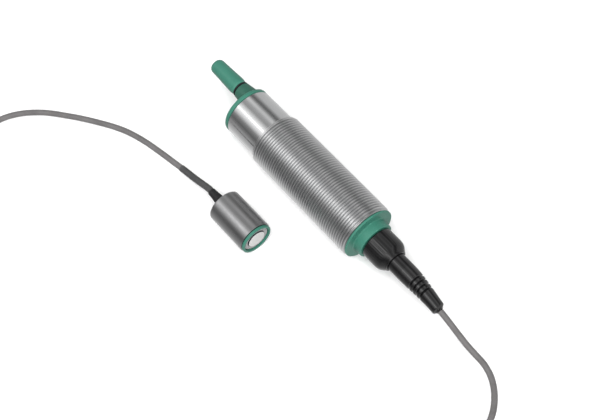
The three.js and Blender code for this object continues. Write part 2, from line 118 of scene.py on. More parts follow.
# Coupling ring, the connector's neck and the bend relief
RING_GRIP = 11                 # from the ring's rear face to where its shoulder starts
RING_BORE = 6.3                # radius
RING_STOP = 9.8                # from the ring's rear face to the step that holds the connector
RING_FLUTES = 48
FLUTE_DEPTH = 0.06
NECK_STEP = 0.9                # how much narrower the neck is than the connector's flange
NECK_WALL = 2.2                # round the cable clamp
CLAMP_DEPTH = 8                # of the hollow that holds the clamp
INSERT_RADIUS = 4.1
BOOT_TAPER = 1.7               # how much narrower the bend relief is at its tip, in radius
BOOT_PLAY = 0.15               # between the cable and the bend relief
BOOT_STEPS = 110
GROOVE_COUNT = 4
GROOVE_PITCH = 2.3
GROOVE_DEPTH = 0.75
GROOVE_HALF = 0.65             # half of a groove's width
GROOVE_START = 7.0             # from the bend relief's rear end to its first groove
BOOT_ROUND = 1.3               # length of the closing at the bend relief's tip
BOOT_DROOP = (-0.44, -2.8)     # how far the bend relief's tip lies off the axis, in y and z
# Sensing head
HEAD_TURN = 0.009              # radians from the unit's axis
HEAD_LENGTH = 24.8
HEAD_WALL = 1
HEAD_FLOOR = 1.6
HEAD_HOLE = 3.5                # radius, for the grommet
BEZEL_RADIUS = 8.6
BEZEL_RIM = 1.2
BEZEL_REACH = 1.5              # in front of the metal tube
BEZEL_DEPTH = 3                # inside the metal tube
FACE_RADIUS = 4.8
FACE_DEPTH = 3.4               # inside the metal tube
FACE_RECESS = 0.2              # below the bezel's rim
FOAM_RECESS = 0.9              # below the bezel's rim
CONE_LENGTH = 9.8
CONE_BASE = 3.2                # radius
CONE_TIP = 2.05                # radius
CONE_BORE = 1.9                # radius
CONE_LIP = 1.2                 # how far the grommet's lip inside the head stands out
LIP_THICKNESS = 1.6
CONE_STEPS = 16
# Cable, and the strap round its coil
CABLE = 0.003                  # diameter, in metres
SLEEVE = 0.0035                # diameter, in metres
SLEEVE_INSIDE = 3.6            # how far the sleeve goes into the head
TIE_TURN = math.pi / 4
TIE_THICKNESS = 0.85
TIE_HALF_WIDTH = 2.6
TIE_SIDE_PLAY = 0.4            # beside the strap, where it passes through the coil's hole
TIE_FOOT = 0.05                # between the strap and the floor

# ---- Routes in metres: x and y from the unit's origin, z from the floor ----
CONNECTOR_RUN = [
    (0.151, -0.0005, 0.0105), (0.157, -0.0002, 0.0076), (0.163, 0.0003, 0.0044),
    (0.169, 0.0009, 0.0022), (0.175, 0.0008, 0.00155), (0.182, -0.0015, 0.00155),
    (0.189, -0.0065, 0.00155), (0.195, -0.014, 0.00155), (0.199, -0.025, 0.00155),
    (0.198, -0.036, 0.00155), (0.193, -0.046, 0.00155), (0.184, -0.057, 0.00155),
    (0.172, -0.070, 0.00155), (0.156, -0.089, 0.00155), (0.139, -0.109, 0.00155),
    (0.122, -0.129, 0.00155), (0.105, -0.149, 0.00155), (0.088, -0.169, 0.00155),
    (0.073, -0.184, 0.00155), (0.057, -0.194, 0.00155), (0.039, -0.198, 0.00155),
    (0.019, -0.196, 0.00155), (0.0, -0.191, 0.00155), (-0.0186, -0.1879, 0.0018),
]
HEAD_RUN = [
    (-0.0557, -0.1524, 0.004), (-0.057, -0.143, 0.0018), (-0.062, -0.1335, 0.00155),
    (-0.0715, -0.126, 0.00155), (-0.0815, -0.118, 0.00155), (-0.0875, -0.1065, 0.00155),
    (-0.0865, -0.093, 0.00155), (-0.079, -0.080, 0.00155), (-0.067, -0.069, 0.00155),
    (-0.054, -0.0595, 0.00155), (-0.0412, -0.0519, 0.00155), (-0.029, -0.0476, 0.00155),
    (-0.0148, -0.0446, 0.00155), (-0.008, -0.0435, 0.0017),
]
SLEEVE_RUN = [
    (-0.002, -0.0426, 0.0022), (0.004, -0.0421, 0.0031), (0.010, -0.0419, 0.0049),
    (0.016, -0.0417, 0.0072), (0.020, -0.0416, 0.0086),
]
COIL_CENTRE = (-0.033, -0.166)
COIL_INNER = 0.0096            # radius of the innermost turn
COIL_OUTER = 0.0218            # radius of the first turn, which lies outside
COIL_PITCH = 0.00305
COIL_LOW = 0.00275             # height of the lower layer's centreline
COIL_STEPS = 16                # points in each turn
COIL_EXTRA = 0.25              # the last share of a turn, out to the head's run


def on_floor(point):
    return FLOOR_ORIGIN + Vector(point)


# ---- Camera and studio ----
CAMERA_AIM = on_floor((0.0547, -0.0111, 0))
CAMERA_DISTANCE = 0.6028
CAMERA_AZIMUTH = math.radians(50.458)
CAMERA_ELEVATION = math.radians(58.763)

# What the studio shows the object round its X axis: degrees from the +Y horizon, and brightness.
STUDIO = [
    (0, 0.58), (22, 0.55), (40, 0.14), (50, 0.16), (68, 0.80), (80, 0.46), (97, 0.34),
    (115, 0.95), (121, 1.05), (124, 2.20), (128, 2.20), (131, 1.05), (140, 0.95), (158, 0.27),
    (178, 0.13), (200, 0.33), (227, 0.50), (260, 0.85), (326, 0.62), (360, 0.58),
]
STUDIO_PEAK = 2.2


def add_camera():
    data = bpy.data.cameras.new("camera")
    data.lens = 72
    data.sensor_width = 36
    data.clip_start = 0.01
    data.clip_end = 20
    camera = bpy.data.objects.new("camera", data)
    bpy.context.scene.collection.objects.link(camera)
    flat = math.cos(CAMERA_ELEVATION)
    back = Vector((
        math.sin(CAMERA_AZIMUTH) * flat,
        -math.cos(CAMERA_AZIMUTH) * flat,
        math.sin(CAMERA_ELEVATION),
    ))
    camera.location = CAMERA_AIM + back * CAMERA_DISTANCE
    camera.rotation_mode = "QUATERNION"
    camera.rotation_quaternion = back.to_track_quat("Z", "Y")
    bpy.context.scene.camera = camera


def add_studio():
    world = bpy.data.worlds.new("studio")
    bpy.context.scene.world = world
    world.use_nodes = True
    nodes, links = world.node_tree.nodes, world.node_tree.links
    background = nodes["Background"]
    direction = nodes.new("ShaderNodeTexCoord")
    split = nodes.new("ShaderNodeSeparateXYZ")
    links.new(direction.outputs["Generated"], split.inputs[0])
    angle = nodes.new("ShaderNodeMath")
    angle.operation = "ARCTAN2"
    links.new(split.outputs["Z"], angle.inputs[0])
    links.new(split.outputs["Y"], angle.inputs[1])
    turn = nodes.new("ShaderNodeMath")
    turn.operation = "WRAP"
    turn.inputs[1].default_value = 2 * math.pi
    turn.inputs[2].default_value = 0
    links.new(angle.outputs[0], turn.inputs[0])
    share = nodes.new("ShaderNodeMath")
    share.operation = "DIVIDE"
    share.inputs[1].default_value = 2 * math.pi
    links.new(turn.outputs[0], share.inputs[0])
    ramp = nodes.new("ShaderNodeValToRGB")
    links.new(share.outputs[0], ramp.inputs[0])
    stops = ramp.color_ramp.elements
    for degrees, _ in STUDIO[1:-1]:
        stops.new(degrees / 360)
    for position, (_, brightness) in enumerate(STUDIO):
        grey = brightness / STUDIO_PEAK
        stops[position].color = (grey, grey, grey, 1)
    links.new(ramp.outputs["Color"], background.inputs["Color"])
    background.inputs["Strength"].default_value = STUDIO_PEAK


def add_light(name, place, size, power):
    data = bpy.data.lights.new(name, "AREA")
    data.size = size
    data.energy = power
    light = bpy.data.objects.new(name, data)
    light.location = place
    light.rotation_mode = "QUATERNION"
    light.rotation_quaternion = Vector(place).to_track_quat("Z", "Y")
    light.visible_glossy = False
    light.visible_camera = False
    bpy.context.scene.collection.objects.link(light)


# ---- Materials ----
class Finish:
    """A node material under construction: the shader, and the nodes that feed it."""

    def __init__(self, name, roughness, metallic=0.0):
        self.material = bpy.data.materials.new(name)
        self.material.use_nodes = True
        self.tree = self.material.node_tree
        self.shader = self.tree.nodes["Principled BSDF"]
        self.shader.inputs["Metallic"].default_value = metallic
        self.shader.inputs["Roughness"].default_value = roughness
        self.place = self.add("ShaderNodeTexCoord").outputs["Object"]

    def add(self, kind, **values):
        node = self.tree.nodes.new(kind)
        for name, value in values.items():
            setattr(node, name, value)
        return node

    def link(self, output, socket):
        self.tree.links.new(output, socket)

    def stretched(self, scale):
        mapping = self.add("ShaderNodeMapping")
        mapping.inputs["Scale"].default_value = scale
        self.link(self.place, mapping.inputs["Vector"])
        return mapping.outputs[0]

    def noise(self, scale, detail=4.0, roughness=0.55, stretch=None):
        """A noise field, scale in cycles per metre."""
        node = self.add("ShaderNodeTexNoise")
        node.inputs["Scale"].default_value = scale
        node.inputs["Detail"].default_value = detail
        node.inputs["Roughness"].default_value = roughness
        self.link(self.stretched(stretch) if stretch else self.place, node.inputs["Vector"])
        return node.outputs["Fac"]

    def spread(self, value, low, high, start=0.3, end=0.7):
        """A field between start and end, brought to between low and high."""
        node = self.add("ShaderNodeMapRange")
        for name, number in (
            ("From Min", start), ("From Max", end), ("To Min", low), ("To Max", high),
        ):
            node.inputs[name].default_value = number
        self.link(value, node.inputs["Value"])
        return node.outputs[0]

    def times(self, first, second):
        node = self.add("ShaderNodeMath", operation="MULTIPLY")
        self.link(first, node.inputs[0])
        self.link(second, node.inputs[1])
        return node.outputs[0]

    def mixed(self, share, first, second):
        """A colour between two, each one a linear RGB triple or another node's output."""
        node = self.add("ShaderNodeMix", data_type="RGBA")
        self.link(share, node.inputs["Factor"])
        for socket, colour in ((node.inputs[6], first), (node.inputs[7], second)):
            if isinstance(colour, tuple):
                socket.default_value = (*colour, 1)
            else:
                self.link(colour, socket)
        return node.outputs[2]

    def edges(self, start=0.52, end=0.62):
        """1 on sharp outer edges, 0 on flat and hollow places."""
        pointed = self.add("ShaderNodeNewGeometry").outputs["Pointiness"]
        return self.spread(pointed, 0, 1, start, end)

    def colour(self, output):
        self.link(output, self.shader.inputs["Base Color"])

    def rough(self, output):
        self.link(output, self.shader.inputs["Roughness"])

    def bump(self, *layers):
        """Each layer is a height field and its height in millimetres."""
        normal = None
        for height, depth in layers:
            node = self.add("ShaderNodeBump")
            node.inputs["Distance"].default_value = depth * MM
            self.link(height, node.inputs["Height"])
            if normal:
                self.link(normal, node.inputs["Normal"])
            normal = node.outputs[0]
        self.link(normal, self.shader.inputs["Normal"])


def linear(red, green, blue):
    """Linear RGB from the 0 to 255 numbers of an sRGB colour."""
    return tuple(
        value / 255 / 12.92 if value <= 10 else ((value / 255 + 0.055) / 1.055) ** 2.4
        for value in (red, green, blue)
    )


def turned_metal(name, colour, roughness, marks=0.002, crest_wear_and_light=None):
    """Metal from a lathe: fine rings round the X axis, slow smudges and a few thin scratches."""
    made = Finish(name, roughness, metallic=1.0)
    rings = made.noise(5200, 3, stretch=(1, 0.015, 0.015))
    broad = made.noise(900, 2, stretch=(1, 0.03, 0.03))
    smudge = made.noise(45, 3)
    scratch = made.spread(made.noise(2600, 2, stretch=(0.05, 1, 1)), 0, 1, 0.7, 0.76)
    made.rough(made.spread(smudge, roughness - 0.03, roughness + 0.08))
    base = made.mixed(made.spread(smudge, 0, 1), colour, tuple(0.93 * v for v in colour))
    base = made.mixed(made.spread(rings, 0, 0.25), base, tuple(0.8 * v for v in colour))
    # On a thread, pointed crests take this lighter colour over a darker base: partly crest wear
    # and root dirt, partly painted shade in the roots.
    if crest_wear_and_light:
        base = made.mixed(made.edges(0.5, 0.56), base, crest_wear_and_light)
    made.colour(made.mixed(scratch, base, tuple(0.85 * v for v in colour)))
    made.bump((rings, marks), (broad, marks), (scratch, marks / 2))
    return made.material


def moulded(name, colour, other, roughness, grain=1500, depth=0.012, wear=None, shine=0.5):
    """Plastic from a mould: a fine spark-eroded grain, slow colour drift and rubbed edges."""
    made = Finish(name, roughness)
    fine = made.noise(grain, 5, 0.6)
    drift = made.noise(90, 3)
    flow = made.noise(260, 4, stretch=(0.4, 1, 1))
    base = made.mixed(made.spread(drift, 0, 1), colour, other)
    base = made.mixed(made.spread(flow, 0, 0.35), base, tuple(1.08 * value for value in colour))
    if wear:
        base = made.mixed(made.times(made.edges(), made.spread(flow, 0.2, 1)), base, wear)
    made.colour(base)
    made.rough(made.spread(fine, roughness - 0.07, roughness + 0.1))
    made.bump((fine, depth), (flow, depth / 2))
    made.shader.inputs["Specular IOR Level"].default_value = shine
    return made.material


def rubber(name, colour, other, roughness=0.6, grain=1100, depth=0.015, shine=0.5):
    """Elastomer: matt, with a dusty bloom, fine pitting and a soft sheen."""
    made = Finish(name, roughness)
    fine = made.noise(grain, 6, 0.65)
    bloom = made.noise(120, 5)
    made.colour(made.mixed(made.spread(bloom, 0, 1, 0.4, 0.75), colour, other))
    made.rough(made.spread(fine, roughness - 0.08, roughness + 0.12))
    made.bump((fine, depth))
    made.shader.inputs["Specular IOR Level"].default_value = shine
    return made.material


def jacket(name, colour, other):
    """An extruded cable jacket: drawn lines, a leather-like skin and rubbed places."""
    made = Finish(name, 0.55)
    skin = made.noise(2200, 4, 0.6)
    rubbed = made.noise(150, 4)
    ripple = made.noise(420, 2)
    base = made.mixed(made.spread(rubbed, 0, 1), colour, other)
    made.colour(made.mixed(made.spread(skin, 0, 0.4), base, tuple(1.3 * v for v in colour)))
    made.rough(made.spread(rubbed, 0.46, 0.66))
    made.bump((skin, 0.03), (ripple, 0.05))
    return made.material


def speckled(name, colour, speck, roughness=0.55):
    """The transducer's matching layer: pale resin filled with tiny hollow glass spheres."""
    made = Finish(name, roughness)
    cells = made.add("ShaderNodeTexVoronoi")
    cells.inputs["Scale"].default_value = 3200
    made.link(made.place, cells.inputs["Vector"])
    dots = made.spread(cells.outputs["Distance"], 1, 0, 0.1, 0.3)
    drift = made.noise(300, 4)
    base = made.mixed(made.spread(drift, 0, 1), colour, tuple(0.94 * v for v in colour))
    made.colour(made.mixed(made.times(dots, made.spread(drift, 0, 0.6)), base, speck))
    made.rough(made.spread(drift, roughness - 0.08, roughness + 0.1))
    made.bump((dots, 0.015))
    return made.material


def foam(name, colour, pore):
    """Closed-cell foam: packed rounded cells with darker walls."""
    made = Finish(name, 0.9)
    cells = made.add("ShaderNodeTexVoronoi")
    cells.inputs["Scale"].default_value = 2400
    made.link(made.place, cells.inputs["Vector"])
    round_cell = cells.outputs["Distance"]
    made.colour(made.mixed(made.spread(round_cell, 0, 1, 0.2, 0.7), colour, pore))
    made.bump((round_cell, -0.08), (made.noise(400, 4), 0.05))
    made.shader.inputs["Sheen Weight"].default_value = 0.2
    return made.material


def plated(name, colour, roughness):
    """Gold-plated contacts: soft wipe marks along the pin."""
    made = Finish(name, roughness, metallic=1.0)
    wipe = made.noise(2600, 4, stretch=(0.1, 1, 1))
    tone = made.mixed(made.spread(wipe, 0, 1), colour, tuple(0.85 * v for v in colour))
    made.colour(tone)
    made.rough(made.spread(wipe, roughness - 0.06, roughness + 0.15))
    made.bump((wipe, 0.004))
    return made.material


def laminate(name, mask, copper):
    """A circuit board: solder mask over straight copper tracks."""
    made = Finish(name, 0.35)
    tracks = made.add("ShaderNodeTexBrick")
    tracks.inputs["Scale"].default_value = 220
    tracks.inputs["Mortar Size"].default_value = 0.035
    made.link(made.place, tracks.inputs["Vector"])
    line = tracks.outputs["Fac"]
    weave = made.noise(1800, 3)
    made.colour(made.mixed(line, made.mixed(weave, mask, tuple(0.8 * v for v in mask)), copper))
    made.rough(made.spread(weave, 0.28, 0.45))
    made.bump((line, 0.04), (weave, 0.01))
    return made.material


def clear_plastic(name, colour):
    """A moulded light guide: milky, with faint flow marks."""
    made = Finish(name, 0.18)
    haze = made.noise(700, 4)
    made.colour(made.mixed(made.spread(haze, 0, 1), colour, tuple(0.88 * v for v in colour)))
    made.rough(made.spread(haze, 0.12, 0.3))
    made.bump((haze, 0.01))
    made.shader.inputs["Transmission Weight"].default_value = 0.45
    return made.material


def floor_paint():
    made = Finish("studio_floor", 0.85)
    mottle = made.noise(12, 4)
    made.colour(made.mixed(made.spread(mottle, 0, 1), (0.90, 0.90, 0.90), (0.92, 0.92, 0.92)))
    made.bump((made.noise(300, 3), 0.02))
    return made.material


GREEN = linear(53, 113, 96)
GREEN_DEEP = linear(49, 106, 91)
GREEN_PALE = linear(78, 140, 122)
DARK_GREEN = linear(42, 90, 75)
BLACK = linear(7, 7, 8)

MATERIALS = {
    "steel": turned_metal("turned_steel", (0.78, 0.785, 0.79), 0.13),
    "green_plastic": moulded("green_plastic", GREEN, GREEN_DEEP, 0.42, wear=GREEN_PALE),
    "dark_green_plastic": moulded(
        "dark_green_plastic", DARK_GREEN, linear(38, 82, 68), 0.48, wear=linear(66, 118, 102),
    ),
    "black_plastic": moulded(
        "black_plastic", BLACK, linear(9, 9, 10), 0.14, depth=0.002, shine=0.8,
    ),
    "moulded_insert": moulded("moulded_insert", linear(42, 42, 44), linear(34, 34, 36), 0.55),
    "rubber_seal": rubber("rubber", linear(22, 22, 24), linear(30, 30, 32)),
    "contact_gold": plated("contact_gold", (0.83, 0.6, 0.25), 0.22),
    "circuit_board": laminate("circuit_board", linear(40, 104, 60), linear(66, 134, 80)),
    "bare_aluminium": turned_metal("bare_aluminium", (0.68, 0.69, 0.7), 0.34),
    "light_guide": clear_plastic("light_guide", linear(222, 214, 178)),
    "foam": foam("decoupling_foam", linear(176, 175, 176), linear(112, 108, 110)),
    "transducer_white": speckled("transducer_white", linear(190, 190, 189), linear(154, 156, 158)),
    "piezo_ceramic": speckled("piezo_ceramic", linear(216, 207, 184), linear(190, 178, 150)),
    "potting": moulded("potting", linear(48, 52, 58), linear(40, 43, 48), 0.6),
    "cable_jacket": jacket("cable_jacket", linear(100, 98, 98), linear(84, 82, 82)),
    "cable_sleeve_black": jacket("cable_sleeve", linear(66, 66, 66), linear(52, 52, 52)),
    "tie_strap": moulded("tie_strap", linear(38, 38, 40), linear(30, 30, 32), 0.5),
}
# Finishes of single pieces whose slot is one of those above.
# The thread's steel is a darker copy of the barrel's, its crests lighter: painted shade in the
# grooves, partly also root dirt and crest wear.
THREAD_STEEL_DIRT_AND_SHADE = turned_metal("threaded_steel_dirt_and_shade", (0.64, 0.645, 0.65), 0.3, crest_wear_and_light=(0.8, 0.8, 0.8))
HEAD_METAL = turned_metal("satin_steel", (0.44, 0.44, 0.445), 0.28)
BOOT_RUBBER = rubber("boot_rubber", BLACK, linear(9, 9, 10), 0.14, 900, 0.002, 1.0)


# ---- Mesh helpers ----
def rounded(corners, closed=False, steps=5):
    """A profile from [x, radius] corners. A third number rounds that corner, over its reach."""
    line = []
    last = len(corners) - 1
    for i, corner in enumerate(corners):
        here = Vector(corner[:2])
        if len(corner) < 3 or (not closed and i in (0, last)):
            line.append(here)
            continue
        before = Vector(corners[i - 1][:2]) - here
        after = Vector(corners[(i + 1) % len(corners)][:2]) - here
        start = here + before.normalized() * min(corner[2], before.length / 2)
        end = here + after.normalized() * min(corner[2], after.length / 2)
        for step in range(steps + 1):
            t = step / steps
            line.append(start * (1 - t) ** 2 + here * 2 * t * (1 - t) + end * t ** 2)
    return line


def lathe(shape, profile, closed=False, sides=96, centre=(0, 0), reach=None):
    """Adds a profile turned about the X axis to a bmesh, in millimetres, round a centre [y, z].

    reach changes a radius by its place: it takes x, the radius and the angle.
    """
    rings = []
    for x, radius in profile:
        if radius < 1e-6:
            rings.append([shape.verts.new((x, *centre))])
            continue
        ring = []
        for i in range(sides):
            angle = 2 * math.pi * i / sides
            far = reach(x, radius, angle) if reach else radius
            y, z = far * math.sin(angle), far * math.cos(angle)
            ring.append(shape.verts.new((x, centre[0] + y, centre[1] + z)))
        rings.append(ring)
    pairs = list(zip(rings, rings[1:]))
    if closed:
        pairs.append((rings[-1], rings[0]))
    for first, second in pairs:
        for i in range(sides):
            j = (i + 1) % sides
            corners = [first[i % len(first)], first[j % len(first)]]
            corners += [second[j % len(second)], second[i % len(second)]]
            corners = list(dict.fromkeys(corners))
            if len(corners) > 2:
                shape.faces.new(corners)


def thread(shape, start, end, radius, depth, pitch, sides=96, chamfer=0.9):
    """Adds the outside of a right-hand screw thread to a bmesh, its ends closed to rings."""
    # Shares of the pitch and of the depth at the crest's and the root's two edges.
    outline = [(0.0, 0.0), (0.14, 0.0), (0.45, 1.0), (0.69, 1.0)]
    turns = math.ceil((end - start) / pitch) + 2
    rows = []
    for row in range(turns * len(outline)):
        share, deep = outline[row % len(outline)]
        ring = []
        for i in range(sides + 1):
            x = start + pitch * (row // len(outline) + share + i / sides - 1)
            x = min(max(x, start), end)
            limit = radius - chamfer + min(x - start, end - x)
            far = max(min(radius - depth * deep, limit), radius - chamfer)
            if x in (start, end):
                far = radius - chamfer
            angle = 2 * math.pi * i / sides
            ring.append(shape.verts.new((x, far * math.sin(angle), far * math.cos(angle))))
        rows.append(ring)
    for first, second in zip(rows, rows[1:]):
        for i in range(sides):
            shape.faces.new((first[i], first[i + 1], second[i + 1], second[i]))


def piece(name, shape, slot, body="unit", place=UNIT, sharp=SHARP, replaces=(), finish=None):
    """Makes a bmesh in millimetres into a piece that rides on a body."""
    bmesh.ops.remove_doubles(shape, verts=shape.verts, dist=1e-4)
    bmesh.ops.dissolve_degenerate(shape, edges=shape.edges, dist=1e-4)
    bmesh.ops.recalc_face_normals(shape, faces=shape.faces)
    bmesh.ops.transform(shape, matrix=place @ Matrix.Scale(MM, 4), verts=shape.verts)
    mesh = bpy.data.meshes.new(name)
    shape.to_mesh(mesh)
    shape.free()
    made = bpy.data.objects.new(name, mesh)
    bpy.context.scene.collection.objects.link(made)
    return dressed(made, slot, body, sharp, replaces, finish)


def dressed(made, slot, body="unit", sharp=SHARP, replaces=(), finish=None):
    made.data.materials.clear()
    made.data.materials.append(finish or MATERIALS[slot])
    if made.type == "MESH":
        made.data.shade_smooth()
        made.data.set_sharp_from_angle(angle=math.radians(sharp))
    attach(made, body)
    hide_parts(*replaces)
    return made


def round_piece(name, profile, slot, closed=False, sides=96, centre=(0, 0), **rest):
    shape = bmesh.new()
    lathe(shape, profile, closed, sides, centre)
    return piece(name, shape, slot, **rest)


def smooth_step(value):
    value = min(max(value, 0), 1)
    return value * value * (3 - 2 * value)


def add_curve(name, points, diameter, resolution=6):
    """A smooth tube on one open spline through the points."""
    data = bpy.data.curves.new(name, "CURVE")
    data.dimensions = "3D"
    data.bevel_depth = diameter / 2
    data.bevel_resolution = resolution
    data.resolution_u = 6
    data.use_fill_caps = True
    line = data.splines.new("BEZIER")
    line.bezier_points.add(len(points) - 1)
    last = len(points) - 1
    for i, point in enumerate(points):
        knot = line.bezier_points[i]
        before = points[max(i - 1, 0)]
        after = points[min(i + 1, last)]
        along = (after - before).normalized()
        knot.co = point
        knot.handle_left_type = knot.handle_right_type = "FREE"
        knot.handle_left = point - along * (point - before).length / 3
        knot.handle_right = point + along * (after - point).length / 3
    made = bpy.data.objects.new(name, data)
    bpy.context.scene.collection.objects.link(made)
    return made


# ---- Cable, its coil and the tie ----
def coil_points():
    """Four turns inward on the floor layer, then turns outward on top of them, clockwise."""
    inward = (COIL_OUTER - COIL_INNER) / COIL_PITCH
    turns = 2 * inward + COIL_EXTRA
    points = []
    for step in range(round(turns * COIL_STEPS) + 1):
        t = step / COIL_STEPS
        radius = COIL_INNER + COIL_PITCH * abs(t - inward)
        height = COIL_LOW + COIL_PITCH * smooth_step((t - inward + 0.3) / 0.6)
        angle = -math.pi / 2 - 2 * math.pi * t
        points.append(on_floor((
            COIL_CENTRE[0] + radius * math.cos(angle),
            COIL_CENTRE[1] + radius * math.sin(angle),
            height,
        )))
    return points


def add_tie():
    """A flat strap closed round one side of the coil."""
    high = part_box("coil_tie")[1]
    centre = on_floor((*COIL_CENTRE, 0))
    along = Vector((math.cos(TIE_TURN), math.sin(TIE_TURN), 0))
    across = Vector((-along.y, along.x, 0))
    coil_hole = (COIL_INNER - CABLE / 2) / MM
    # The strap is wide, so its corners meet the coil's round hole before its middle does.
    inner = math.sqrt(coil_hole ** 2 - (TIE_HALF_WIDTH + TIE_SIDE_PLAY) ** 2) - GAP
    outer = (COIL_OUTER + COIL_EXTRA * COIL_PITCH + CABLE / 2) / MM + GAP
    tall = high.z / MM
    thick = TIE_THICKNESS
    foot = TIE_FOOT
    loop = rounded_loop(inner - thick, outer + thick, foot, tall - foot, 1.9)
    hole = rounded_loop(inner, outer, thick + foot, tall - thick - foot, 1.2)
    shape = bmesh.new()
    sides = []
    for half in (-TIE_HALF_WIDTH, TIE_HALF_WIDTH):
        rings = []
        for line in (loop, hole):
            rings.append([shape.verts.new(along * r + across * half + Vector((0, 0, z)))
                          for r, z in line])
        sides.append(rings)
    count = len(loop)
    for i in range(count):
        j = (i + 1) % count
        (first_out, first_in), (second_out, second_in) = sides
        shape.faces.new((first_out[i], first_out[j], second_out[j], second_out[i]))
        shape.faces.new((first_in[i], first_in[j], second_in[j], second_in[i]))
        shape.faces.new((first_out[i], first_out[j], first_in[j], first_in[i]))
        shape.faces.new((second_out[i], second_out[j], second_in[j], second_in[i]))
    return piece("coil_strap", shape, "tie_strap", place=Matrix.Translation(centre),
                 replaces=["coil_tie"])


def rounded_loop(left, right, bottom, top, reach):
    corners = [(left, bottom), (right, bottom), (right, top), (left, top)]
    return rounded([(*corner, reach) for corner in corners], closed=True)


def add_cable(strap):
    boot_tip = span("bend_relief")[1]
    exit_point = UNIT_AXIS + Vector((boot_tip + GAP, *BOOT_DROOP)) * MM
    lead = [on_floor(p) for p in CONNECTOR_RUN]
    tail = [on_floor(p) for p in HEAD_RUN]
    into_sleeve = [on_floor(p) for p in SLEEVE_RUN[:2]]
    route = [exit_point, *lead, *coil_points(), *tail, *into_sleeve]
    cable = add_curve("cable", route, CABLE)
    dressed(cable, "cable_jacket", replaces=[
        "cable_run_connector", "cable_coil", "cable_run_head",
    ])


add_camera()
add_studio()
add_light("key", (0.45, -0.40, 1.2), 1.2, 26)
add_cable(add_tie())


# ---- Evaluation unit ----
def add_barrel():
    radius = radius_of("barrel_tube")
    length = span("barrel_tube")[1]
    smooth = radius_of("rear_cap")
    root = radius - THREAD_DEPTH
    shape = bmesh.new()
    thread(shape, SMOOTH_LENGTH, length, radius, THREAD_DEPTH, THREAD_PITCH)
    lathe(shape, rounded([
        (SMOOTH_LENGTH, root),
        (SMOOTH_LENGTH, smooth),
        (0, smooth, 0.25),
        (0, BORE_RADIUS, 0.25),
        (length, BORE_RADIUS, 0.25),
        (length, root),
    ]))
    barrel = piece("threaded_barrel", shape, "steel", sharp=25, replaces=["barrel_tube"])
    barrel.data.materials.append(THREAD_STEEL_DIRT_AND_SHADE)
    thread_start = UNIT_AXIS.x + (SMOOTH_LENGTH - 0.01) * MM
    for face in barrel.data.polygons:
        off_axis = (face.center - UNIT_AXIS).yz.length
        if face.center.x > thread_start and off_axis > (smooth + BORE_RADIUS) / 2 * MM:
            face.material_index = 1


def add_rear_cap():
    outer, inner = span("rear_cap")
    radius = radius_of("rear_cap")
    seat = -GAP
    cap = round_piece("rear_cover", rounded([
        (outer + CAP_HOLLOW_DEPTH, 0),
        (outer + CAP_HOLLOW_DEPTH, radius - CAP_HOLLOW_WALL, 0.1),
        (outer, radius - CAP_HOLLOW_WALL + 0.2, 0.1),
        (outer, radius, CAP_EDGE),
        (seat, radius, 0.2),
        (seat, BORE_RADIUS - GAP, 0.1),
        (inner, BORE_RADIUS - GAP, 0.5),
        (inner, 0),
    ]), "green_plastic", replaces=["rear_cap"])
    for node, play in (
        ("m12_shell", DEVICE_SPIGOT + GAP), ("plug_socket", SOCKET_SPIGOT + GAP),
        ("led_window_left", WINDOW_HOLE), ("led_window_right", WINDOW_HOLE),
    ):
        bore_through(cap, outer - 1, inner + 1, play, middle_of(node))
    for node in ("led_window_left", "led_window_right"):
        start, end = span(node)
        lens = radius_of(node)
        round_piece(f"{node}_lens", rounded([
            (start, 0), (start, lens * 0.6), (start + 0.45, lens, 0.3), (end, lens), (end, 0),
        ]), "light_guide", sides=48, centre=middle_of(node), replaces=[node])


def bore_through(made, start, end, radius, centre):
    """Cuts a round hole along X through a piece."""
    shape = bmesh.new()
    lathe(shape, [(start, 0), (start, radius), (end, radius), (end, 0)], sides=64, centre=centre)
    bmesh.ops.recalc_face_normals(shape, faces=shape.faces)
    bmesh.ops.transform(shape, matrix=UNIT @ Matrix.Scale(MM, 4), verts=shape.verts)
    mesh = bpy.data.meshes.new("hole")
    shape.to_mesh(mesh)
    shape.free()
    tool = bpy.data.objects.new("hole", mesh)
    bpy.context.scene.collection.objects.link(tool)
    cut = made.modifiers.new("cut", "BOOLEAN")
    cut.operation = "DIFFERENCE"
    cut.solver = "EXACT"
    cut.object = tool
    with bpy.context.temp_override(object=made, active_object=made, selected_objects=[made]):
        bpy.ops.object.modifier_apply(modifier=cut.name)
    bpy.data.objects.remove(tool)
    made.data.set_sharp_from_angle(angle=math.radians(SHARP))


def add_program_plug():
    centre = middle_of("program_plug")
    tip, base = span("program_plug")
    radius = radius_of("program_plug")
    narrow = radius - PLUG_TAPER
    round_piece("plug_body", rounded([
        (tip, 0),
        (tip, narrow * 0.97, 2.6),
        (tip + 6.5, narrow, 3.0),
        (base - 2.4, radius, 1.2),
        (base, radius - 0.45),
        (base, PLUG_BORE),
        (tip + PLUG_BORE_START, PLUG_BORE),
        (tip + PLUG_BORE_START, 0),
    ], steps=10), "green_plastic", body="plug", centre=centre, replaces=["program_plug"])
    rear, front = span("plug_seal")
    seal = radius_of("plug_seal")
    round_piece("plug_gasket", rounded([
        (rear, SEAL_BORE),
        (rear, seal - 0.15, 0.3),
        (front, seal - 0.15, 0.3),
        (front, SEAL_BORE),
    ], closed=True), "rubber_seal", closed=True, body="plug", centre=centre,
        replaces=["plug_seal"])


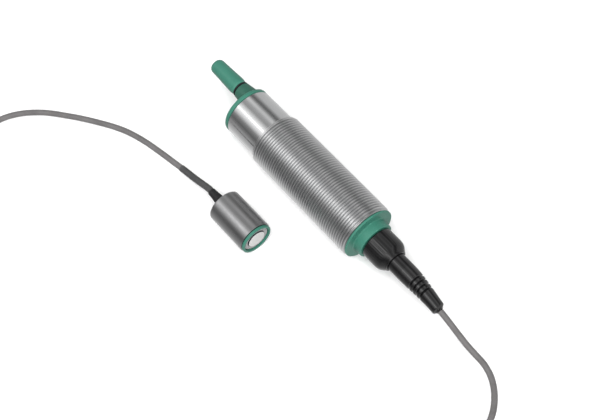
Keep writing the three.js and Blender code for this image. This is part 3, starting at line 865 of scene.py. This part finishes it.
def add_plug_socket():
    centre = middle_of("plug_socket")
    rear, inner = span("plug_socket")
    base = radius_of("plug_socket")
    seat = span("rear_cap")[0] - GAP
    mouth = radius_of("plug_seal")
    edge = 0.3
    flare = []
    for step in range(FLARE_STEPS + 1):
        share = step / FLARE_STEPS
        flare.append((rear + edge + (seat - rear - edge) * share,
                      mouth + (base - mouth) * share ** FLARE_POWER))
    round_piece("plug_collar", [
        (rear, SOCKET_BORE),
        (rear, mouth - edge),
        *flare,
        (seat, base),
        (seat, SOCKET_SPIGOT),
        (inner, SOCKET_SPIGOT),
        (inner, SOCKET_BORE),
    ], "dark_green_plastic", closed=True, centre=centre, replaces=["plug_socket"])


def add_device_connector():
    centre = middle_of("m12_shell")
    rear, inner = span("m12_shell")
    radius = radius_of("m12_shell")
    seat = span("rear_cap")[0] - GAP
    root = radius - DEVICE_DEPTH
    floor = seat - DEVICE_FLOOR
    flange = seat - DEVICE_FLANGE
    shape = bmesh.new()
    thread(shape, rear, flange, radius, DEVICE_DEPTH, DEVICE_PITCH, 64, DEVICE_DEPTH)
    lathe(shape, rounded([
        (flange, root),
        (flange + 0.4, radius),
        (seat, radius),
        (seat, DEVICE_SPIGOT),
        (inner, DEVICE_SPIGOT),
        (inner, DEVICE_BORE),
        (floor, DEVICE_BORE),
        (floor, DEVICE_CUP),
        (rear, DEVICE_CUP, 0.3),
        (rear, root),
    ]), sides=64)
    bmesh.ops.translate(shape, verts=shape.verts, vec=(0, *centre))
    piece("m12_thread", shape, "steel", sharp=25, replaces=["m12_shell"])
    for number in range(1, DEVICE_PINS + 1):
        add_pin(f"m12_pin_{number}")
    for number in range(1, HEAD_PINS + 1):
        add_pin(f"head_socket_pin_{number}")


def add_pin(node):
    start, end = span(node)
    radius = radius_of(node)
    tip = radius * 0.8
    ends = [(start, 0), (start, radius, tip), (end, radius, tip), (end, 0)]
    round_piece(f"{node}_contact", rounded(ends), "contact_gold", sides=24,
                centre=middle_of(node), replaces=[node])


def add_front_flange():
    inner, collar_end = span("front_flange")
    radius = radius_of("front_flange")
    back = span("barrel_tube")[1] + GAP
    face = back + FLANGE_THICKNESS
    hole = radius_of("head_socket") + GAP
    round_piece("front_collar", rounded([
        (collar_end, hole, 0.2),
        (collar_end, COLLAR_RADIUS, 0.4),
        (face, COLLAR_RADIUS, 0.8),
        (face, radius, 0.4),
        (back, radius, 0.2),
        (back, BORE_RADIUS - GAP, 0.1),
        (inner, BORE_RADIUS - GAP, 0.5),
        (inner, hole),
    ], closed=True), "green_plastic", closed=True, sides=128, replaces=["front_flange"])


# ---- Cable connector ----
def add_coupling_ring():
    rear, front = span("coupling_ring")
    radius = radius_of("coupling_ring")
    grip = rear + RING_GRIP
    stop = rear + RING_STOP
    neck = radius_of("connector_body") - NECK_STEP

    def fluted(x, far, angle):
        inside = smooth_step((x - rear - 0.8) / 1.0) * smooth_step((grip - 0.2 - x) / 1.0)
        wave = 0.5 - 0.5 * math.cos(angle * RING_FLUTES)
        return far - FLUTE_DEPTH * wave * inside if far > radius - 1.2 else far

    outer = rounded([
        (rear, RING_BORE),
        (rear, radius, 0.5),
        (rear + 1.6, radius),
        (rear + 6, radius),
        (grip - 2, radius, 1.5),
        (grip, radius - 0.5, 1.0),
        (grip + 1.5, radius - 1.6, 0.8),
        (grip + 2.4, radius - 2.4, 0.4),
        (front, neck + 1.1, 0.3),
        (front, neck + GAP),
        (stop, neck + GAP),
        (stop, RING_BORE),
    ], closed=True)
    shape = bmesh.new()
    lathe(shape, outer, closed=True, sides=RING_FLUTES * 6, reach=fluted)
    piece("coupling_nut", shape, "black_plastic", body="ring", replaces=["coupling_ring"])


def add_neck():
    """The connector's insert, its flange inside the ring, and the neck that the boot joins."""
    start, end = span("connector_body")
    flange = radius_of("connector_body")
    neck = flange - NECK_STEP
    bore = neck - NECK_WALL
    nipple_end = span("head_socket")[1]
    stop = span("coupling_ring")[0] + RING_STOP
    round_piece("connector_neck", rounded([
        (start, 0),
        (start, INSERT_RADIUS, 0.3),
        (nipple_end + GAP, INSERT_RADIUS),
        (nipple_end + GAP, flange),
        (stop - GAP, flange),
        (stop - GAP, neck),
        (end, neck),
        (end, bore),
        (end - CLAMP_DEPTH, bore),
        (end - CLAMP_DEPTH, 0),
    ]), "black_plastic", sides=72, replaces=["connector_body"])


def drooped(shape, start, length):
    """Lets the verts of a bmesh hang lower towards the bend relief's tip, as a bent beam does."""
    for vert in shape.verts:
        share = max(0, (vert.co.x - start) / length) ** 2
        vert.co.y += share * BOOT_DROOP[0]
        vert.co.z += share * BOOT_DROOP[1]


def add_bend_relief():
    start, tip = span("bend_relief")
    neck = radius_of("connector_body") - NECK_STEP
    hole = CABLE / MM / 2 + BOOT_PLAY
    length = tip - start
    profile = [Vector((start, hole)), Vector((start - GAP, neck - 1)), Vector((start - GAP, neck))]
    for step in range(1, BOOT_STEPS):
        x = start + length * step / BOOT_STEPS
        along = x - start
        far = neck - BOOT_TAPER * smooth_step(along / (length * 1.05))
        for i in range(GROOVE_COUNT):
            off = abs(along - GROOVE_START - i * GROOVE_PITCH)
            far -= GROOVE_DEPTH * (1 - smooth_step(off / GROOVE_HALF))
        close = smooth_step((along - (length - BOOT_ROUND)) / BOOT_ROUND)
        far += (hole + 0.35 - far) * close
        profile.append(Vector((x, far)))
    profile += [Vector((tip, hole + 0.3)), Vector((tip, hole))]
    inner = [Vector((tip - length * i / 12, hole)) for i in range(1, 12)]
    shape = bmesh.new()
    lathe(shape, profile + inner, closed=True, sides=72)
    drooped(shape, start, length)
    piece("bend_relief_boot", shape, "rubber_seal", replaces=["bend_relief"],
          finish=BOOT_RUBBER)


# ---- Sensing head ----
def head_place():
    """The head's own frame: its origin is the front end of its metal tube, on its axis."""
    low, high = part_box("head_tube")
    radius = (high.z - low.z) / 2
    return Matrix.Translation((
        high.x - radius * math.sin(HEAD_TURN),
        high.y - radius * math.cos(HEAD_TURN),
        (low.z + high.z) / 2,
    )) @ Matrix.Rotation(HEAD_TURN, 4, "Z")


def add_head():
    """Makes the head's pieces, and gives the middle of its rear face."""
    place = head_place()
    radius = radius_of("head_tube")
    rear = -HEAD_LENGTH
    bore = radius - HEAD_WALL
    round_piece("head_shell", rounded([
        (rear, HEAD_HOLE, 0.2),
        (rear, radius, 1.1),
        (0, radius, 0.5),
        (0, bore, 0.1),
        (rear + HEAD_FLOOR, bore),
        (rear + HEAD_FLOOR, HEAD_HOLE),
    ], closed=True), "steel", closed=True, sides=128, place=place, replaces=["head_tube"],
        finish=HEAD_METAL)
    rim = BEZEL_RADIUS - BEZEL_RIM
    round_piece("head_front_ring", rounded([
        (BEZEL_REACH, rim, 0.15),
        (BEZEL_REACH, BEZEL_RADIUS, 0.5),
        (GAP, BEZEL_RADIUS, 0.1),
        (GAP, bore - GAP),
        (-BEZEL_DEPTH, bore - GAP),
        (-BEZEL_DEPTH, rim),
    ], closed=True), "green_plastic", closed=True, sides=128, place=place,
        replaces=["head_bezel"])
    foam_face = BEZEL_REACH - FOAM_RECESS
    round_piece("head_foam_ring", rounded([
        (foam_face, FACE_RADIUS + GAP, 0.2),
        (foam_face, rim - GAP, 0.4),
        (-FACE_DEPTH, rim - GAP),
        (-FACE_DEPTH, FACE_RADIUS + GAP),
    ], closed=True), "foam", closed=True, place=place, replaces=["decoupling_ring"])
    front = BEZEL_REACH - FACE_RECESS
    disc = round_piece("head_transducer", rounded([
        (-FACE_DEPTH, 0),
        (-FACE_DEPTH, FACE_RADIUS),
        (front, FACE_RADIUS, 0.3),
        (front, 0),
    ]), "transducer_white", place=place, replaces=["transducer_face"])
    # The disc's side wall is dark, so a dark line runs round its face.
    disc.data.materials.append(MATERIALS["potting"])
    for side in disc.data.polygons:
        if abs(side.normal.x) < 0.3:
            side.material_index = 1
    add_grommet(place, rear)
    return place @ Vector((rear * MM, 0, 0))


def add_grommet(place, rear):
    """The cone behind the head, its neck through the tube's floor and its lip inside."""
    cone = []
    for step in range(CONE_STEPS + 1):
        share = step / CONE_STEPS
        cone.append((rear - GAP - (CONE_LENGTH - GAP) * (1 - share),
                     CONE_TIP + (CONE_BASE - CONE_TIP) * share ** 1.5))
    lip_start = rear + HEAD_FLOOR + GAP
    lip_end = lip_start + LIP_THICKNESS
    lip = CONE_BASE + CONE_LIP
    round_piece("head_cone", [
        (rear - CONE_LENGTH, CONE_BORE),
        *cone,
        (lip_start, CONE_BASE),
        (lip_start, lip),
        (lip_end, lip),
        (lip_end, CONE_BORE),
    ], "rubber_seal", closed=True, sides=64, place=place, replaces=["head_grommet"])


def add_sleeve(head_rear):
    """The shrunk sleeve over the cable's end, from the floor through the grommet."""
    stops = (-CONE_LENGTH - 0.5, 0, SLEEVE_INSIDE)
    inside = [Vector((x * MM, 0, 0)) + head_rear for x in stops]
    points = [on_floor(p) for p in SLEEVE_RUN] + inside
    sleeve = add_curve("cable_end_sleeve", points, SLEEVE)
    dressed(sleeve, "cable_sleeve_black", replaces=["cable_sleeve"])


add_barrel()
add_rear_cap()
add_program_plug()
add_plug_socket()
add_device_connector()
add_front_flange()
add_coupling_ring()
add_neck()
add_bend_relief()
add_sleeve(add_head())


# ---- CAD nodes that stay, with their finishes ----
def dress_cad_nodes():
    slots = {part["node"]: part["material_slot"] for part in frame["record"]["subparts"]}
    for name, node in frame["nodes"].items():
        if node.hide_render:
            continue
        node.data.materials.clear()
        node.data.materials.append(MATERIALS[slots[name]])
        node.data.shade_smooth()
        node.data.set_sharp_from_angle(angle=math.radians(SHARP))


dress_cad_nodes()


def add_floor():
    shape = bmesh.new()
    bmesh.ops.create_circle(shape, cap_ends=True, segments=64, radius=2.5)
    mesh = bpy.data.meshes.new("floor")
    shape.to_mesh(mesh)
    shape.free()
    floor = bpy.data.objects.new("floor", mesh)
    floor.data.materials.append(floor_paint())
    floor.visible_glossy = False
    bpy.context.scene.collection.objects.link(floor)


add_floor()
bpy.context.scene.view_settings.view_transform = "Standard"
